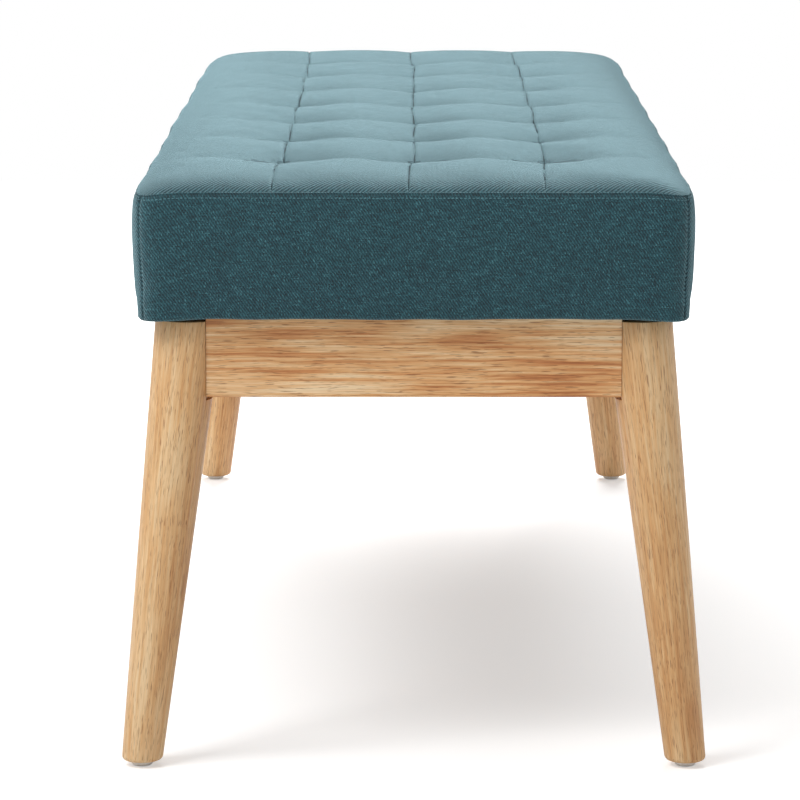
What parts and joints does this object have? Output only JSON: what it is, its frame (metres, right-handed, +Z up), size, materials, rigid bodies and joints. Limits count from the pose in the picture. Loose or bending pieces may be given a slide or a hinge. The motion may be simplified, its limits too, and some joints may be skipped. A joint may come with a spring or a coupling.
{
  "type": "upholstered bench",
  "caption": "Long bench with a tufted, cloth-covered box cushion on a wooden frame with round, tapered, splayed legs.",
  "frame": {"origin": "on the floor, under the middle of the bench", "axes": "+X along the bench, +Y across it, +Z up"},
  "size_m": [1.2712, 0.4562, 0.4633],
  "materials": {
    "upholstery_cloth": "coarse twill weave, matte",
    "foam": "open-cell foam",
    "plywood": "raw sanded",
    "dust_cloth": "spun-bonded, matte",
    "twine": "waxed",
    "rubberwood": "clear satin lacquer",
    "glide_plastic": "moulded, semi-matte",
    "zinc_steel": "bright zinc plated"
  },
  "bodies": {
    "root": {"cover_top": "upholstery_cloth", "cover_side_back": "upholstery_cloth", "cover_side_front": "upholstery_cloth", "cover_end_left": "upholstery_cloth", "cover_end_right": "upholstery_cloth", "foam_pad": "foam", "seat_board": "plywood", "dust_cover": "dust_cloth", "tuft_twine_front": "twine", "tuft_twine_middle": "twine", "tuft_twine_back": "twine", "leg_back_right": "rubberwood", "glide_back_right": "glide_plastic", "corner_bracket_back_right": "zinc_steel", "hanger_bolt_back_right": "zinc_steel", "washer_back_right": "zinc_steel", "wing_nut_back_right": "zinc_steel", "bracket_screw_end_back_right": "zinc_steel", "bracket_screw_side_back_right": "zinc_steel", "leg_back_left": "rubberwood", "glide_back_left": "glide_plastic", "corner_bracket_back_left": "zinc_steel", "hanger_bolt_back_left": "zinc_steel", "washer_back_left": "zinc_steel", "wing_nut_back_left": "zinc_steel", "bracket_screw_end_back_left": "zinc_steel", "bracket_screw_side_back_left": "zinc_steel", "leg_front_right": "rubberwood", "glide_front_right": "glide_plastic", "corner_bracket_front_right": "zinc_steel", "hanger_bolt_front_right": "zinc_steel", "washer_front_right": "zinc_steel", "wing_nut_front_right": "zinc_steel", "bracket_screw_end_front_right": "zinc_steel", "bracket_screw_side_front_right": "zinc_steel", "leg_front_left": "rubberwood", "glide_front_left": "glide_plastic", "corner_bracket_front_left": "zinc_steel", "hanger_bolt_front_left": "zinc_steel", "washer_front_left": "zinc_steel", "wing_nut_front_left": "zinc_steel", "bracket_screw_end_front_left": "zinc_steel", "bracket_screw_side_front_left": "zinc_steel", "end_apron_left": "rubberwood", "end_apron_right": "rubberwood", "side_apron_back": "rubberwood", "side_apron_front": "rubberwood", "cross_rail_left": "rubberwood", "cross_rail_middle": "rubberwood", "cross_rail_right": "rubberwood", "seat_bolt_back_right": "zinc_steel", "tee_nut_back_right": "zinc_steel", "seat_bolt_back_left": "zinc_steel", "tee_nut_back_left": "zinc_steel", "seat_bolt_front_right": "zinc_steel", "tee_nut_front_right": "zinc_steel", "seat_bolt_front_left": "zinc_steel", "tee_nut_front_left": "zinc_steel"}
  },
  "joints": []
}
